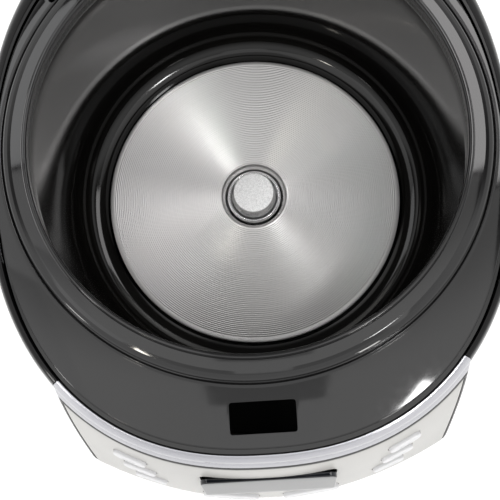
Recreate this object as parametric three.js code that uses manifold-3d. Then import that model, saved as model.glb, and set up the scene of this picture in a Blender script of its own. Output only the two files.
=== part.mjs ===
// Countertop multicooker with its lid open and its bowl lifted out.
// Millimetres, +Z up. The drawing frame has the cooking chamber's axis at x = 0, y = 0,
// the counter at z = 0, the front (control panel) at -Y and the lid hinge at +Y.
import * as THREE from "three";
import { mergeVertices } from "three/addons/utils/BufferGeometryUtils.js";
import Module from "manifold-3d";

const wasm = await Module();
wasm.setup();

// ---------------------------------------------------------------- driving dimensions
const SEG = 36; // facets round a circle
const PLATE_R = 90; // heating plate radius
const PLATE_Z = 62; // top of the plate at its edge, above the counter
const PLATE_CROWN = 3.7; // rise of the plate from its edge to the middle
const WELL_R = 20.3; // countersink round the sensor, at the plate's surface
const MOUTH_R = 104.5; // inner edge of the deck's lip
const CHAMBER_R = 108.2; // inside radius of the chamber wall, behind the lip
const FLOOR_FILLET = 15; // rounded corner between the chamber's floor and its wall
const CHAMBER_TOP = PLATE_Z + 111.3; // chamber rim
const LIP_TOP = PLATE_Z + 122.6; // bead round the mouth of the deck
const GROOVE_R = 117.1; // ring groove of the deck
const DECK_Z = PLATE_Z + 118; // flat of the deck
const DECK = { a: 120.85, y0: -11.0, bf: 137.5, br: 135.2, n: 2.31 }; // plan of the deck's edge
const BODY = { a: 128.7, y0: -3.75, bf: 149.7, br: 151.0, n: 2.31 }; // plan of the body at its widest
const SHELL_WALL = 2.6;
const CONSOLE_HALF = 95.8; // half width of the control console
const HINGE_Y = 138; // hinge axis
const HINGE_Z = 187;
const LID_OPEN = 98; // opening angle at rest, degrees
const ORIGIN_SHIFT_Y = -17.2877; // moves the chamber's axis so that the outline is centred on the origin

// ---------------------------------------------------------------- materials
const mat = (color, roughness, metalness = 0) => new THREE.MeshStandardMaterial({ color, roughness, metalness });
const GLOSS = mat(0x1b1a1c, 0.12);
const BLACK = mat(0x151515, 0.45);
const SILVER = mat(0xb9bac0, 0.32, 0.9);
const ALU = mat(0xc9c8c6, 0.3, 1);
const ENAMEL = mat(0x1a191a, 0.3, 0.4);
const STEEL = mat(0xa8a8aa, 0.3, 1);
const RUBBER = mat(0x222222, 0.85);
const SILICONE = mat(0xd8d6d0, 0.6);
const PANEL = mat(0xd7d7d9, 0.35, 0.6);
const KEY = mat(0xe4e4e6, 0.4);
const LENS = mat(0x0c1014, 0.08);
const PCB = mat(0x1f5c34, 0.6);
const MICA = mat(0xc8b48a, 0.8);
const COPPER = mat(0xb87333, 0.4, 1);

// ---------------------------------------------------------------- helpers
// distance from the chamber's axis to a plan curve, in the direction th
const superR = (th, p, extra = 0) => {
  const c = Math.cos(th), s = Math.sin(th);
  let lo = 0, hi = 400;
  for (let i = 0; i < 40; i++) {
    const r = (lo + hi) / 2, d = r * s - p.y0;
    if (Math.pow(Math.abs(r * c) / p.a, p.n) + Math.pow(Math.abs(d) / (d > 0 ? p.br : p.bf), p.n) < 1) lo = r; else hi = r;
  }
  return lo + extra;
};
// front edge of a plan curve at a given x, as a positive distance towards -Y
const frontOf = (x, p, extra = 0) => -p.y0 + (p.bf + extra) * Math.pow(Math.max(0, 1 - Math.pow(Math.abs(x) / (p.a + extra), p.n)), 1 / p.n);

// closed profile of [r, z] turned about Z
function turned(points, seg = SEG) {
  const g = new THREE.LatheGeometry([...points, points[0]].map(([r, z]) => new THREE.Vector2(r, z)), seg);
  g.rotateX(Math.PI / 2);
  return closed(g);
}
// joins coincident vertices and drops collapsed triangles; turns the faces outwards
function closed(g) {
  const bare = new THREE.BufferGeometry().setAttribute("position", g.getAttribute("position").clone());
  if (g.index) bare.setIndex(g.index);
  const m = mergeVertices(bare, 1e-3);
  const idx = m.index.array, pos = m.attributes.position.array, keep = [];
  let vol = 0;
  for (let i = 0; i < idx.length; i += 3) {
    const [a, b, c] = [idx[i], idx[i + 1], idx[i + 2]];
    if (a === b || b === c || a === c) continue;
    keep.push(a, b, c);
    const A = [pos[3 * a], pos[3 * a + 1], pos[3 * a + 2]], B = [pos[3 * b], pos[3 * b + 1], pos[3 * b + 2]], C = [pos[3 * c], pos[3 * c + 1], pos[3 * c + 2]];
    vol += A[0] * (B[1] * C[2] - B[2] * C[1]) - A[1] * (B[0] * C[2] - B[2] * C[0]) + A[2] * (B[0] * C[1] - B[1] * C[0]);
  }
  if (vol < 0) for (let i = 0; i < keep.length; i += 3) [keep[i + 1], keep[i + 2]] = [keep[i + 2], keep[i + 1]];
  m.setIndex(keep);
  return m;
}
// moves every vertex of a turned profile: fn(r, theta, z) gives the new radius, or [radius, z]
function plan(g, fn) {
  const p = g.attributes.position;
  for (let i = 0; i < p.count; i++) {
    const x = p.getX(i), y = p.getY(i), z = p.getZ(i), r = Math.hypot(x, y), th = Math.atan2(y, x);
    if (r < 1e-6) continue;
    const q = fn(r, th, z), [R, Z] = Array.isArray(q) ? q : [q, z];
    p.setXYZ(i, R * Math.cos(th), R * Math.sin(th), Z);
  }
  return g;
}
const near = (a, b) => Math.abs(a - b) < 0.02;
const solid = (g) => {
  const c = closed(g);
  return new wasm.Manifold(new wasm.Mesh({ numProp: 3, vertProperties: new Float32Array(c.attributes.position.array), triVerts: new Uint32Array(c.index.array) }));
};
const toGeometry = (m) => {
  const k = m.getMesh(), n = k.numProp, v = new Float32Array(k.numVert * 3);
  for (let i = 0; i < k.numVert; i++) v.set(k.vertProperties.subarray(i * n, i * n + 3), i * 3);
  return new THREE.BufferGeometry().setAttribute("position", new THREE.BufferAttribute(v, 3)).setIndex(new THREE.BufferAttribute(new Uint32Array(k.triVerts), 1));
};
const minus = (a, ...b) => toGeometry(b.reduce((s, g) => s.subtract(solid(g)), solid(a)));
const plus = (a, ...b) => toGeometry(b.reduce((s, g) => s.add(solid(g)), solid(a)));
const common = (a, b) => toGeometry(solid(a).intersect(solid(b)));
const box = (x0, x1, y0, y1, z0, z1) => new THREE.BoxGeometry(x1 - x0, y1 - y0, z1 - z0).translate((x0 + x1) / 2, (y0 + y1) / 2, (z0 + z1) / 2);
const rodZ = (r, z0, z1, x = 0, y = 0, seg = 24) => new THREE.CylinderGeometry(r, r, z1 - z0, seg).rotateX(Math.PI / 2).translate(x, y, (z0 + z1) / 2);
const rodX = (r, x0, x1, y, z, seg = 24) => new THREE.CylinderGeometry(r, r, x1 - x0, seg).rotateZ(Math.PI / 2).translate((x0 + x1) / 2, y, z);
const rodY = (r, y0, y1, x, z, seg = 24) => new THREE.CylinderGeometry(r, r, y1 - y0, seg).translate(x, (y0 + y1) / 2, z);
function roundRect(w, h, r) {
  const s = new THREE.Shape();
  s.moveTo(-w / 2 + r, -h / 2);
  s.lineTo(w / 2 - r, -h / 2); s.absarc(w / 2 - r, -h / 2 + r, r, -Math.PI / 2, 0);
  s.lineTo(w / 2, h / 2 - r); s.absarc(w / 2 - r, h / 2 - r, r, 0, Math.PI / 2);
  s.lineTo(-w / 2 + r, h / 2); s.absarc(-w / 2 + r, h / 2 - r, r, Math.PI / 2, Math.PI);
  s.lineTo(-w / 2, -h / 2 + r); s.absarc(-w / 2 + r, -h / 2 + r, r, Math.PI, 1.5 * Math.PI);
  return s;
}
const slab = (shape, depth, curveSegments = 5) => new THREE.ExtrudeGeometry(shape, { depth, bevelEnabled: false, curveSegments, steps: 1 });
function tube(points, r, sides, steps) {
  const section = new THREE.Shape();
  for (let i = 0; i < sides; i++) {
    const a = (2 * Math.PI * i) / sides;
    if (i) section.lineTo(r * Math.cos(a), r * Math.sin(a)); else section.moveTo(r, 0);
  }
  return new THREE.ExtrudeGeometry(section, { steps, bevelEnabled: false, extrudePath: new THREE.CatmullRomCurve3(points.map((q) => new THREE.Vector3(...q))) });
}
// a block whose front face follows front(x, z) and back face follows back(x, z), both as distances towards -Y
function block(x0, x1, z0, z1, back, front, nx = 24, nz = 6) {
  const v = [], idx = [], W = nx + 1;
  const at = (side, i, k) => (side * (nz + 1) + k) * W + i; // side 0 = front, 1 = back
  for (const f of [front, back]) for (let k = 0; k <= nz; k++) for (let i = 0; i <= nx; i++) {
    const x = x0 + ((x1 - x0) * i) / nx, z = z0 + ((z1 - z0) * k) / nz;
    v.push(x, -f(x, z), z);
  }
  const quad = (a, b, c, d) => idx.push(a, b, c, a, c, d);
  for (let i = 0; i < nx; i++) {
    for (let k = 0; k < nz; k++) {
      quad(at(0, i, k), at(0, i + 1, k), at(0, i + 1, k + 1), at(0, i, k + 1));
      quad(at(1, i, k), at(1, i, k + 1), at(1, i + 1, k + 1), at(1, i + 1, k));
    }
    quad(at(0, i, 0), at(1, i, 0), at(1, i + 1, 0), at(0, i + 1, 0));
    quad(at(0, i, nz), at(0, i + 1, nz), at(1, i + 1, nz), at(1, i, nz));
  }
  for (let k = 0; k < nz; k++) {
    quad(at(0, 0, k), at(0, 0, k + 1), at(1, 0, k + 1), at(1, 0, k));
    quad(at(0, nx, k), at(1, nx, k), at(1, nx, k + 1), at(0, nx, k + 1));
  }
  return new THREE.BufferGeometry().setAttribute("position", new THREE.BufferAttribute(new Float32Array(v), 3)).setIndex(idx);
}

const root = new THREE.Group();
const fixed = new THREE.Group(), lid = new THREE.Group();
root.add(fixed, lid);
root.position.set(0, ORIGIN_SHIFT_Y, 0);
lid.position.set(0, HINGE_Y, HINGE_Z);
lid.rotation.x = (-LID_OPEN * Math.PI) / 180;
const add = (group, name, geometry, material) => {
  const m = new THREE.Mesh(geometry, material);
  m.name = name;
  group.add(m);
  return m;
};
// lid pieces are drawn shut, in the drawing frame, and hung on the hinge axis
const addLid = (name, geometry, material) => add(lid, name, geometry.translate(0, -HINGE_Y, -HINGE_Z), material);

// ---------------------------------------------------------------- outer shell
// plan: t = 0 is the deck's edge, t = 1 the body at its widest
const shellR = (th, t, inset = 0) => superR(th, DECK) * (1 - t) + superR(th, BODY) * t - inset;
// the parameter in the profile's radius column is 100 * t (outside) or 1000 + 100 * t (inside)
const OUT = [[0.12, 179.2], [0.5, 178], [0.86, 173], [1.0, 165], [1.0, 110], [0.86, 62], [0.5, 26], [0.16, 10]];
const shellAt = (z) => {
  for (let i = 0; i < OUT.length - 1; i++) if (z <= OUT[i][1] && z >= OUT[i + 1][1]) return OUT[i][0] + ((OUT[i + 1][0] - OUT[i][0]) * (OUT[i][1] - z)) / (OUT[i][1] - OUT[i + 1][1]);
  return z > OUT[0][1] ? OUT[0][0] : OUT[OUT.length - 1][0];
};
const shellProfile = [...OUT.map(([t, z]) => [500 + 100 * t, z]), ...[[0.16, 10], [0.5, 26.5], [0.86, 62], [1.0, 110], [1.0, 165], [0.84, 171], [0.53, 175]].map(([t, z]) => [2000 + 100 * t, z])];
const shellGeo = () => plan(turned(shellProfile), (r, th) => (r > 1500 ? shellR(th, (r - 2000) / 100, SHELL_WALL) : shellR(th, (r - 500) / 100)));
// the silver trim ends square to its own run, and the shell keeps the corner beyond it
const trimEnd = (s, off, z0) => box(-15, 15, off, 20, z0, 210).rotateZ(-s * 0.4564).translate(s * 91, -110.4, 0);
let shell = minus(
  shellGeo(),
  minus(box(-CONSOLE_HALF - 0.35, CONSOLE_HALF + 0.35, -200, -60, 83.6, 200), trimEnd(1, 0.18, 168.35), trimEnd(-1, 0.18, 168.35)), // opening filled by the console
  box(-31, 31, 100, 200, 107.9, 152.1), // drip cup niche
  box(-17, 17, 100, 200, 27, 51), // power inlet
  box(-50, 50, 112, 200, 166, 200), // hinge block
);
add(fixed, "outer_shell", shell, GLOSS);

// ---------------------------------------------------------------- top deck
// radius column: under 150 is a circle, 500 + d is the deck's edge moved out by d
const deckLoop = [
  [MOUTH_R, LIP_TOP - 3.8], [MOUTH_R + 0.1, LIP_TOP - 0.8], [MOUTH_R + 1.1, LIP_TOP], [MOUTH_R + 2.7, LIP_TOP - 1.2],
  [GROOVE_R - 4.9, LIP_TOP - 1.45], [GROOVE_R - 3.2, LIP_TOP - 1.75], [GROOVE_R - 1.9, LIP_TOP - 2.2], [GROOVE_R - 0.8, LIP_TOP - 3.0], [GROOVE_R - 0.45, DECK_Z - 2.2], [GROOVE_R + 0.4, DECK_Z - 2.2], [GROOVE_R + 0.8, DECK_Z + 0.3], [GROOVE_R + 2.5, DECK_Z],
  [496.4, DECK_Z], [497.0, DECK_Z - 0.6], [497.2, DECK_Z - 4.0], [499.9, DECK_Z - 4.0], [499.9, DECK_Z - 7.2], [495.2, DECK_Z - 7.2], [494.8, DECK_Z - 2.6],
  [119.9, DECK_Z - 2.4], [118.9, DECK_Z - 4.4], [115.0, DECK_Z - 4.4], [114.4, LIP_TOP - 4.1], [107.0, LIP_TOP - 3.5], [106.6, LIP_TOP - 3.8],
];
// radii from 494 up are places in the rim, whose seam to the shell is a hairline at the rear and opens into a channel at the front
const deckGeo = plan(turned(deckLoop), (r, th, z) => {
  const D = superR(th, DECK), t = Math.min(1, Math.max(0, (-Math.sin(th) - 0.05) / 0.6)), S = t * t * (3 - 2 * t), e = -0.45 - 2.6 * S, q = Math.min(1, Math.max(0, (D - 125.1) / 3));
  if (near(r, 119.9)) return [Math.min(119.9, D - 5.2), DECK_Z - 4.4 + 2.0 * q];
  if (near(r, 118.9)) return Math.min(118.9, D - 5.6);
  if (near(r, 494.8)) return [D - 5.2, DECK_Z - 4.4 + 1.8 * q];
  if (near(r, 496.4)) return D + e;
  if (near(r, 497.0)) return D + e + 0.25 + 0.3 * S;
  if (near(r, 497.2)) return D + e + 0.3 + 0.45 * S;
  return r < 150 ? r : D + r - 500;
});
const EAR_IN = 29, EAR_OUT = 43;
const ear = (s) => plus(rodX(8.5, s > 0 ? EAR_IN : -EAR_OUT, s > 0 ? EAR_OUT : -EAR_IN, HINGE_Y, HINGE_Z, 20), box(s > 0 ? EAR_IN : -EAR_OUT, s > 0 ? EAR_OUT : -EAR_IN, HINGE_Y - 8.5, HINGE_Y + 8.5, DECK_Z - 9, HINGE_Z));
let deck = plus(deckGeo, box(-49, 49, 118.5, HINGE_Y + 9, DECK_Z - 13, DECK_Z - 1.6), ear(1), ear(-1));
deck = minus(
  deck,
  rodX(2.85, -60, 60, HINGE_Y, HINGE_Z, 16), // hinge pin bore
  box(-15, 15, -139.6, -125.4, DECK_Z - 20, DECK_Z + 5), // latch slot
  rodZ(1.9, DECK_Z - 20, DECK_Z + 5, -92.2, 77.2, 16), // drain hole at the rear left
);
add(fixed, "top_deck", deck, GLOSS);

// ---------------------------------------------------------------- mouth collar
add(fixed, "mouth_collar", turned([
  [MOUTH_R + 1.2, CHAMBER_TOP + 0.4], [MOUTH_R + 1.7, LIP_TOP - 4.6], [109.4, LIP_TOP - 4.6], [109.4, LIP_TOP - 6.2], [107.9, LIP_TOP - 6.2], [107.5, CHAMBER_TOP + 1.8], [112.4, CHAMBER_TOP + 1.8], [112.4, CHAMBER_TOP + 0.4],
]), BLACK);

// ---------------------------------------------------------------- chamber and heater
const C = CHAMBER_R, FLOOR = PLATE_Z - 3;
const corner = (grow) => [0, 22.5, 45, 67.5, 90].map((a) => (a * Math.PI) / 180).map((a) => [C - FLOOR_FILLET + (FLOOR_FILLET + grow) * Math.sin(a), FLOOR + FLOOR_FILLET - (FLOOR_FILLET + grow) * Math.cos(a)]);
add(fixed, "inner_chamber", turned([
  [92, FLOOR], ...corner(0), [C, CHAMBER_TOP - 1], [C + 1.0, CHAMBER_TOP],
  [C + 5.3, CHAMBER_TOP], [C + 5.3, CHAMBER_TOP - 1.3], [C + 1.3, CHAMBER_TOP - 1.4], ...corner(1.3).reverse(), [92, FLOOR - 1.3],
]), ENAMEL);
add(fixed, "side_heater_band", turned([[C + 2.4, 72], [C + 4.6, 72], [C + 4.6, 104], [C + 2.4, 104]], 32), MICA);

const crown = (r) => PLATE_Z + PLATE_CROWN * (1 - ((r - WELL_R) / (PLATE_R - WELL_R)) ** 2);
add(fixed, "heating_plate", turned([
  [18.0, crown(WELL_R) - 3.4], [WELL_R - 1.3, crown(WELL_R) - 1.9], [WELL_R, crown(WELL_R)], [44, crown(44)], [68, crown(68)], [PLATE_R - 1.2, crown(PLATE_R - 1.2)], [PLATE_R, PLATE_Z - 1],
  [PLATE_R, PLATE_Z - 5.5], [PLATE_R - 2, PLATE_Z - 7.5], [70, PLATE_Z - 8.5], [18, PLATE_Z - 8.5],
]), ALU);
{
  // tubular heating element: an open ring under the plate with its two ends turned down
  const pts = [], r = 58, z = PLATE_Z - 8.5 - 4.4, a0 = 0.32;
  pts.push([r * Math.cos(a0) - 3, r * Math.sin(a0) - 9, z - 22], [r * Math.cos(a0) - 2, r * Math.sin(a0) - 7, z - 9], [r * Math.cos(a0), r * Math.sin(a0) - 2, z - 1]);
  for (let i = 1; i <= 22; i++) { const a = a0 + ((2 * Math.PI - 2 * a0) * i) / 23; pts.push([r * Math.cos(a), r * Math.sin(a), z]); }
  pts.push([r * Math.cos(a0), -r * Math.sin(a0) + 2, z - 1], [r * Math.cos(a0) - 2, -r * Math.sin(a0) + 7, z - 9], [r * Math.cos(a0) - 3, -r * Math.sin(a0) + 9, z - 22]);
  add(fixed, "heating_element", tube(pts, 4, 6, 32), STEEL);
}
// three posts hold the plate on the base pan
const POSTS = [["plate_post_left", 150], ["plate_post_right", 30], ["plate_post_front", 270]];
for (const [name, deg] of POSTS) {
  const a = (deg * Math.PI) / 180;
  add(fixed, name, plus(rodZ(4, 12.3, PLATE_Z - 8.9, 76 * Math.cos(a), 76 * Math.sin(a), 16), rodZ(7, 12.3, 17, 76 * Math.cos(a), 76 * Math.sin(a), 16)), STEEL);
}
// ---------------------------------------------------------------- sensor
const S_TOP = PLATE_Z + 11;
add(fixed, "sensor_sleeve", turned([
  [14.1, PLATE_Z + 0.4], [14.5, PLATE_Z + 1.5], [15.3, PLATE_Z + 1.9], [16.2, PLATE_Z + 1.4], [16.5, PLATE_Z + 0.2], [16.5, PLATE_Z - 24], [6.6, PLATE_Z - 24], [6.6, PLATE_Z - 22.4], [14.1, PLATE_Z - 22.4],
], 28), STEEL);
add(fixed, "sensor_bracket", minus(plus(box(-78, 78, -9, 9, 24, 25.6), turned([[6.6, 24], [22, 24], [22, 25.6], [6.6, 25.6]], 20), turned([[17.0, 25.4], [20, 25.4], [20, 37.6], [17.0, 37.6]], 20)), rodZ(6.6, 20, 40, 0, 0, 20)), STEEL);
const cap = turned([
  [0, S_TOP], [11.9, S_TOP], [12.5, S_TOP - 0.4], [13.0, S_TOP - 2], [13.6, S_TOP - 9.2], [13.6, S_TOP - 15], [11.9, S_TOP - 15], [11.9, S_TOP - 3.4], [5.2, S_TOP - 3.4], [5.2, S_TOP - 30], [6.0, S_TOP - 31], [6.0, S_TOP - 37], [0, S_TOP - 37],
], 20);
add(fixed, "sensor_cap", cap, STEEL);
{
  const pts = [];
  const zb = PLATE_Z - 21.4, zt = S_TOP - 4.6, turns = 5;
  for (let i = 0; i <= 60; i++) { const a = (2 * Math.PI * turns * i) / 60; pts.push([8.6 * Math.cos(a), 8.6 * Math.sin(a), zb + ((zt - zb) * i) / 60]); }
  add(fixed, "sensor_spring", tube(pts, 0.7, 4, 50), STEEL);
}
add(fixed, "thermal_fuse", plus(rodX(2.4, -10, 10, 36, 50.6, 12), rodX(0.9, -16, 16, 36, 50.6, 8)), STEEL);

// ---------------------------------------------------------------- base
const basePlan = (th, inset) => shellR(th, 0.16, SHELL_WALL + inset);
let base = plan(turned([[0, 8], [600, 8], [600, 11], [601, 11.1], [601, 22], [599, 22], [599, 12], [0, 12]]), (r, th) => (r < 300 ? r : basePlan(th, 0.5 + (601 - r))));
const cuts = [];
for (let i = -2; i <= 2; i++) cuts.push(box(i * 14 - 2.5, i * 14 + 2.5, -58, -30, 2, 20), box(i * 14 - 2.5, i * 14 + 2.5, 30, 58, 2, 20));
const FEET = [["foot_front_left", -64, -98], ["foot_front_right", 64, -98], ["foot_rear_left", -60, 88], ["foot_rear_right", 60, 88]];
for (const [, x, y] of FEET) cuts.push(rodZ(5.3, 4, 20, x, y, 14));
base = minus(base, ...cuts);
add(fixed, "base_pan", base, BLACK);
for (const [name, x, y] of FEET) {
  add(fixed, name, turned([[0, 0], [11, 0], [12, 1], [13, 7.6], [5, 7.6], [5, 12.4], [6.4, 12.4], [6.2, 14.5], [0, 15]], 14).translate(x, y, 0), RUBBER);
}
// ---------------------------------------------------------------- electronics
add(fixed, "power_board", box(-52, 52, -118, -96, 14.5, 16.1), PCB);
add(fixed, "transformer", plus(box(-44, -16, -116, -98, 16.5, 38), box(-40, -20, -114.5, -99.5, 16.5, 42)), COPPER);
add(fixed, "relay", box(2, 20, -114, -99, 16.5, 32), BLACK);
add(fixed, "filter_capacitor", rodZ(6, 16.5, 36, 36, -107, 14), BLACK);

// ---------------------------------------------------------------- console
const TRIM_Z = 168;
const face = (x, z) => {
  // front face of the console: at its top it follows the body, below it stands proud, and it tucks in at the bottom
  const k = Math.min(1, Math.max(0, (TRIM_Z + 4 - z) / 76));
  const top = frontOf(x, BODY, -0.6), low = 176 - 26 * (x / CONSOLE_HALF) ** 2;
  return top + (low - top) * Math.pow(k, 0.8) - Math.max(0, 96 - z) * 1.1;
};
const H = CONSOLE_HALF;
const backOf = (x) => frontOf(x, BODY, -11);
const consoleBox = block(-H, H, 84, TRIM_Z - 0.4, backOf, face, 14, 4);
add(fixed, "console_housing", minus(
  consoleBox,
  block(-H + 2, H - 2, 86, TRIM_Z - 2.4, (x) => backOf(x) + 2, (x, z) => face(x, z) - 2.4, 14, 4),
  block(-H + 2, H - 2, 95.7, TRIM_Z - 2.4, (x, z) => face(x, z) - 6, (x, z) => face(x, z) + 6, 14, 4),
  box(-20, 20, -160, -120, 100, 118), // wiring hole
), BLACK);

let panel = block(-H + 2.35, H - 2.35, 96.05, TRIM_Z - 2.75, (x, z) => face(x, z) - 2.4, face, 12, 3);
// frames on the sloped face: where x and z are on the face, and which way it looks
const faceFrame = (x, z) => {
  const e = 0.5;
  const P = new THREE.Vector3(x, -face(x, z), z);
  const dx = new THREE.Vector3(2 * e, -(face(x + e, z) - face(x - e, z)), 0).normalize();
  const dz = new THREE.Vector3(0, -(face(x, z + e) - face(x, z - e)), 2 * e).normalize();
  const n = new THREE.Vector3().crossVectors(dx, dz).normalize();
  const v = new THREE.Vector3().crossVectors(n, dx).normalize();
  return new THREE.Matrix4().makeBasis(dx, v, n).setPosition(P);
};
const at = (g, x, z, lift = 0) => g.translate(0, 0, lift).applyMatrix4(faceFrame(x, z));
const KEYS = [
  ["key_menu", -66, 148, 18, 9], ["key_timer", -64, 132, 18, 9], ["key_temperature", -61, 116, 18, 9],
  ["key_hour", 66, 148, 18, 9], ["key_minute", 64, 132, 18, 9], ["key_warm", 61, 116, 18, 9],
  ["key_start", -21, 106, 30, 10], ["key_cancel", 21, 106, 30, 10],
];
const DISPLAY = [0, 136, 66, 32];
panel = minus(
  panel,
  at(slab(roundRect(DISPLAY[2], DISPLAY[3], 4), 20), DISPLAY[0], DISPLAY[1], -10),
  ...KEYS.map(([, x, z, w, h]) => at(slab(roundRect(w, h, h / 2 - 0.3), 20, 2), x, z, -10)),
);
add(fixed, "front_panel", panel, PANEL);
add(fixed, "display_lens", at(slab(roundRect(DISPLAY[2] - 0.8, DISPLAY[3] - 0.8, 3.6), 2.2), DISPLAY[0], DISPLAY[1], -1.4), LENS);
for (const [name, x, z, w, h] of KEYS) {
  add(fixed, name, at(slab(roundRect(w - 0.9, h - 0.9, (h - 0.9) / 2 - 0.3), 3.4, 2), x, z, -1.6), KEY);
}
add(fixed, "control_board", box(-54, 54, -148.1, -146.5, 120, 150), PCB);
add(fixed, "display_module", box(-29, 29, -152, -148.4, 124, 148), BLACK);
// silver trim that closes the top of the console, along the deck's edge
const trimOut = (x, z) => {
  const k = Math.max(0, (z - 172.5) / 6.7);
  const a = frontOf(x, DECK, 0.7), b = face(x, Math.min(z, TRIM_Z + 4));
  return b + (a + (b - a) * 0.12 - b) * Math.pow(Math.min(1, k), 2.2);
};
add(fixed, "panel_trim", minus(block(-H, H, TRIM_Z, 179.2, (x, z) => frontOf(x, DECK, 0.45), trimOut, 20, 3), trimEnd(1, -0.17, 160), trimEnd(-1, -0.17, 160)), SILVER);

// ---------------------------------------------------------------- rear: power inlet, drip cup
const REAR = 147.3;
add(fixed, "power_inlet", minus(box(-16.5, 16.5, 116, 144, 27.5, 50.5), slab(roundRect(24.5, 16.5, 3.5), 40).rotateX(-Math.PI / 2).translate(0, 119, 39)), BLACK);
for (const [name, x, z] of [["inlet_pin_line", -7, 37], ["inlet_pin_earth", 0, 41], ["inlet_pin_neutral", 7, 37]]) {
  add(fixed, name, box(x - 1, x + 1, 119.3, 138, z - 2, z + 2), STEEL);
}
add(fixed, "cup_niche", minus(box(-30.6, 30.6, 117, REAR - 1, 108.3, 151.7), box(-28.6, 28.6, 118.8, 200, 110.3, 149.7)), BLACK);
const cup = minus(
  plus(box(-27.8, 27.8, 120, REAR + 3.5, 111, 146.5), box(-27.8, 27.8, REAR + 0.2, REAR + 3.5, 111, 149.2)),
  box(-26, 26, 122, REAR + 1.4, 113, 160),
);
add(fixed, "drip_cup", minus(cup, slab(roundRect(30, 9, 4), 4).rotateX(-Math.PI / 2).translate(0, REAR + 2.2, 121)), BLACK);

// ---------------------------------------------------------------- lid (drawn shut)
const lidR = (th, d) => superR(th, DECK, d);
const LB = DECK_Z + 2.6; // bottom edge of the lid
const DOME = [[-0.8, LB], [-0.9, LB + 12], [-5, LB + 23], [-15, LB + 33], [-34, LB + 41], [-70, LB + 46.4]];
const domeLoop = [
  ...DOME.map(([d, z]) => [500 + d, z]), [0, LB + 47.6], [0, LB + 45], ...DOME.slice(0, -1).reverse().map(([d, z], i) => (i === DOME.length - 2 ? [500 + d - 2.4, z] : [500 + d - 2.2, z - 2.0 - (i < 5 ? 0.4 : 0)])),
];
const lidShell = plan(turned(domeLoop), (r, th) => (r < 150 ? r : Math.max(4, lidR(th, r - 500))));
const VALVE_Y = 62, BTN_Y = -117, BTN_Z = LB + 40.2, BTN_TILT = 17, LP_Y = -127, LP_Z = LB + 14;
const onButton = (g) => g.rotateX((BTN_TILT * Math.PI) / 180).translate(0, BTN_Y, BTN_Z);
add(lid, "lid_cover", minus(lidShell, rodZ(23, LB + 20, 300, 0, VALVE_Y, 24), onButton(slab(roundRect(46, 20, 9), 40).translate(0, 0, -16)), box(-28.4, 28.4, 112, 140, LB - 5, LB + 12.6)).translate(0, -HINGE_Y, -HINGE_Z), GLOSS);
// liner: tray that closes the lid from below, with the hinge arm
const LZ = LIP_TOP + 4.4;
let liner = plan(turned([[500 - 3.6, LB + 0.6], [500 - 3.6, LB + 5.6], [500 - 6.2, LB + 6.4], [112.4, LZ + 2.2], [112.4, LZ + 6.8], [0, LZ + 6.8], [0, LZ + 4.8], [110.2, LZ + 4.8], [110.2, LZ - 0.2], [500 - 6.4, LB + 0.6]]), (r, th) => (r < 150 ? r : lidR(th, r - 500)));
const arm = plus(rodX(8.2, -28, 28, HINGE_Y, HINGE_Z, 20), box(-28, 28, 113.4, HINGE_Y, LB + 1, LB + 10.4));
liner = minus(
  plus(liner, arm, box(12.4, 16, -130.6, -123.4, LB + 5.5, LP_Z + 3.4), box(-16, -12.4, -130.6, -123.4, LB + 5.5, LP_Z + 3.4)),
  rodX(2.85, -60, 60, HINGE_Y, HINGE_Z, 16),
  rodX(6.6, -14, 14, HINGE_Y, HINGE_Z, 16), // spring pocket
  box(-14, 14, HINGE_Y - 5, HINGE_Y + 20, HINGE_Z - 20, HINGE_Z + 20),
  rodZ(6.2, LZ, LZ + 20, 0, 0, 24), rodZ(15.6, LZ, LZ + 20, 0, VALVE_Y, 20), // knob post and steam duct
  box(-12, 12, -139.2, -123.6, LB - 4, LB + 16), // latch opening
  rodX(1.8, -20, 20, LP_Y, LP_Z, 12), // latch pin bore
);
add(lid, "lid_liner", liner.translate(0, -HINGE_Y, -HINGE_Z), BLACK);
// removable inner lid with its gasket and knob
addLid("inner_lid", minus(turned([[0, LZ + 2.4], [60, LZ + 2.4], [63, LZ + 0.6], [97, LZ + 0.6], [100, LZ + 1.6], [104.5, LZ + 1.6], [104.5, LZ + 2.8], [99.6, LZ + 2.8], [96.8, LZ + 1.8], [63.4, LZ + 1.8], [60.4, LZ + 3.6], [0, LZ + 3.6]], 32),
  rodZ(4.4, LZ - 5, LZ + 9, 0, 0, 20), ...[0, 1, 2, 3, 4, 5].map((i) => rodZ(2.4, LZ - 5, LZ + 9, 8 * Math.cos((i * Math.PI) / 3), VALVE_Y - 12 + 8 * Math.sin((i * Math.PI) / 3), 8))), ALU);
addLid("lid_gasket", turned([[101.2, LZ + 1.2], [101.2, LZ - 0.2], [104.4, LZ - 1.6], [107.6, LZ - 2.4], [109.4, LZ - 2.2], [109.4, LZ + 3.9], [101.2, LZ + 3.9], [101.2, LZ + 3.2], [105.1, LZ + 3.2], [105.1, LZ + 1.2]], 32), SILICONE);
addLid("inner_lid_knob", turned([[0, LZ - 5.4], [9, LZ - 5.4], [10.4, LZ - 4.2], [10.4, LZ - 1.2], [9.2, LZ + 1.9], [4.0, LZ + 2.0], [4.0, LZ + 8.6], [5.4, LZ + 9.4], [4.4, LZ + 11.6], [0, LZ + 12]], 16), BLACK);
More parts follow.
